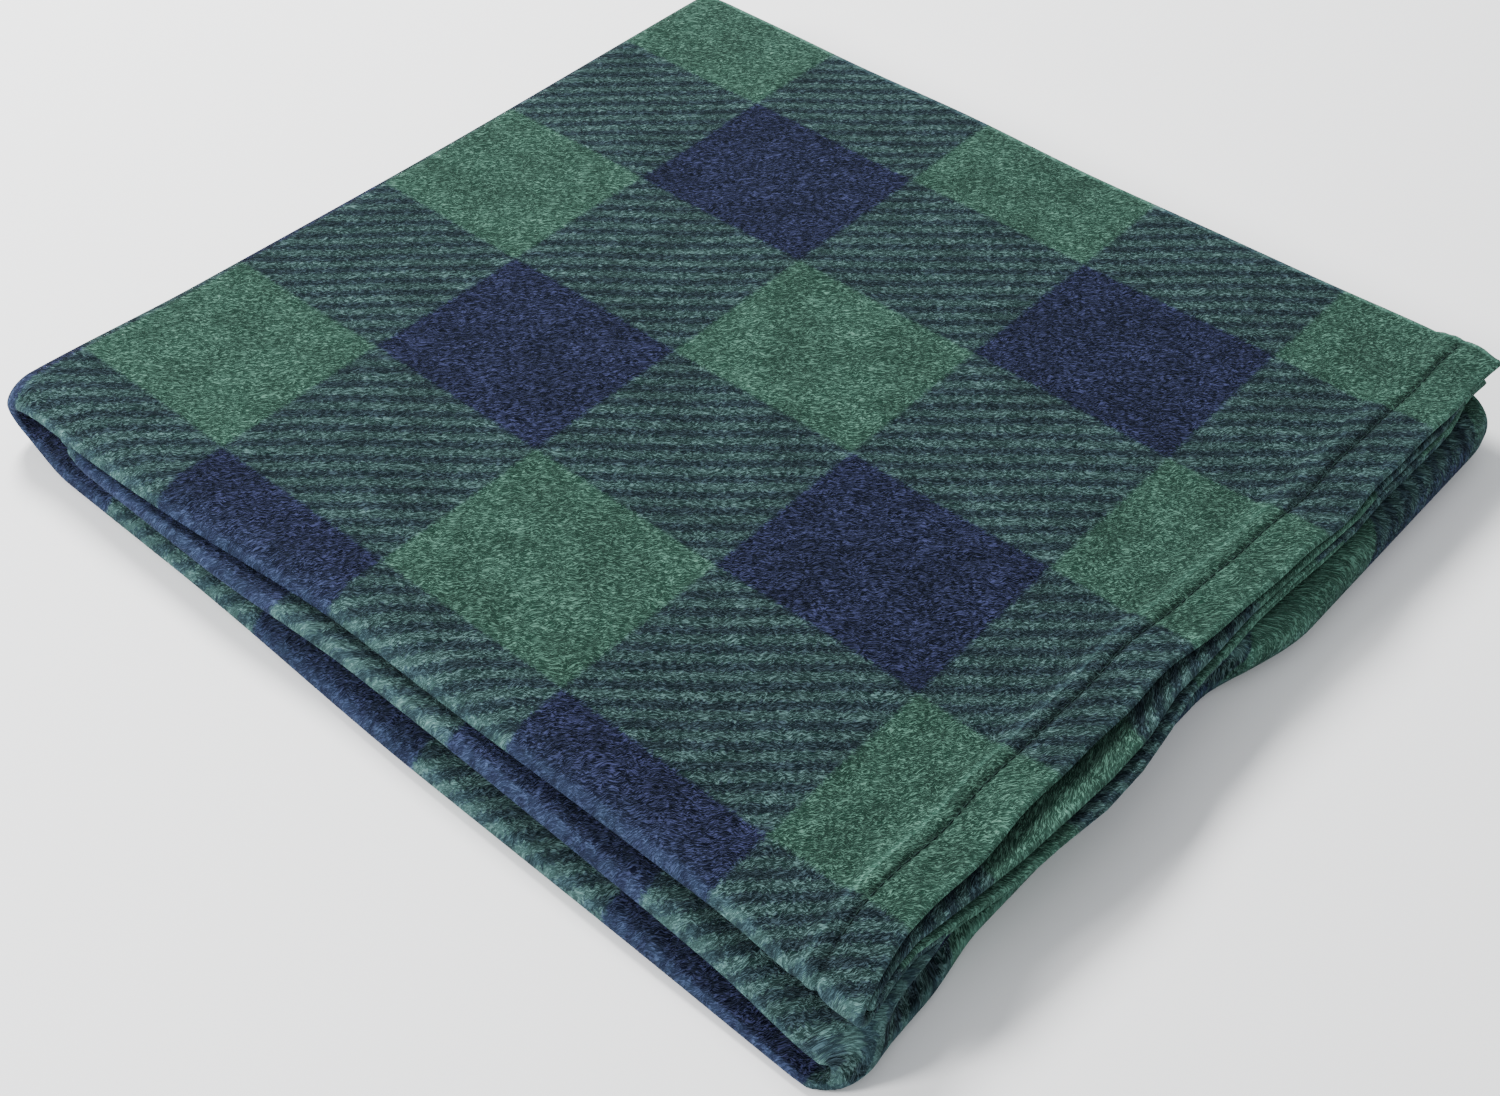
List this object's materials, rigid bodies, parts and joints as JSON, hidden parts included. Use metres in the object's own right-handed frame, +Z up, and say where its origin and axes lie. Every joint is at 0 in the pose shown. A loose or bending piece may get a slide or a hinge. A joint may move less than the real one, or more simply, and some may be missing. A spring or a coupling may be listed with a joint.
{
  "type": "camp blanket",
  "caption": "Checked polar fleece blanket with hemmed edges, folded into a flat rectangular packet whose top third opens out about one fold.",
  "frame": {"origin": "on the floor under the middle of the folded packet", "axes": "+X along the strip's length, from the wrapped fold towards the tucked fold and the top third's free hemmed end; +Y across the strip, from its spine towards its far folded edge; +Z up through the layers"},
  "size_m": [0.426, 0.388, 0.0316],
  "materials": {
    "fleece": "brushed polar fleece with a short matte pile, printed in a navy and green check",
    "hem": "the same printed fleece, turned under and stitched",
    "thread": "dark navy polyester sewing thread sunk in the pile"
  },
  "bodies": {
    "base": {"bottom_third": "fleece", "bottom_side_hem_inner": "hem", "bottom_side_seam_inner": "thread", "bottom_side_hem_outer": "hem", "bottom_side_seam_outer": "thread", "inner_third": "fleece", "inner_side_hem_inner": "hem", "inner_side_seam_inner": "thread", "inner_side_hem_outer": "hem", "inner_side_seam_outer": "thread", "inner_end_seam": "thread", "inner_end_hem": "hem", "tucked_fold": "fleece", "wrapped_fold": "fleece"},
    "top_flap": {"top_third": "fleece", "top_side_hem_inner": "hem", "top_side_seam_inner": "thread", "top_side_hem_outer": "hem", "top_side_seam_outer": "thread", "top_end_seam": "thread", "top_end_hem": "hem"}
  },
  "joints": [
    {"name": "top_third_unfold", "type": "hinge", "parent": "base", "child": "top_flap", "pos_m": [-0.214, 0, 0.01578], "axis": [0, -1, 0], "range_deg": [0, 180], "deforming": ["wrapped_fold"]}
  ]
}
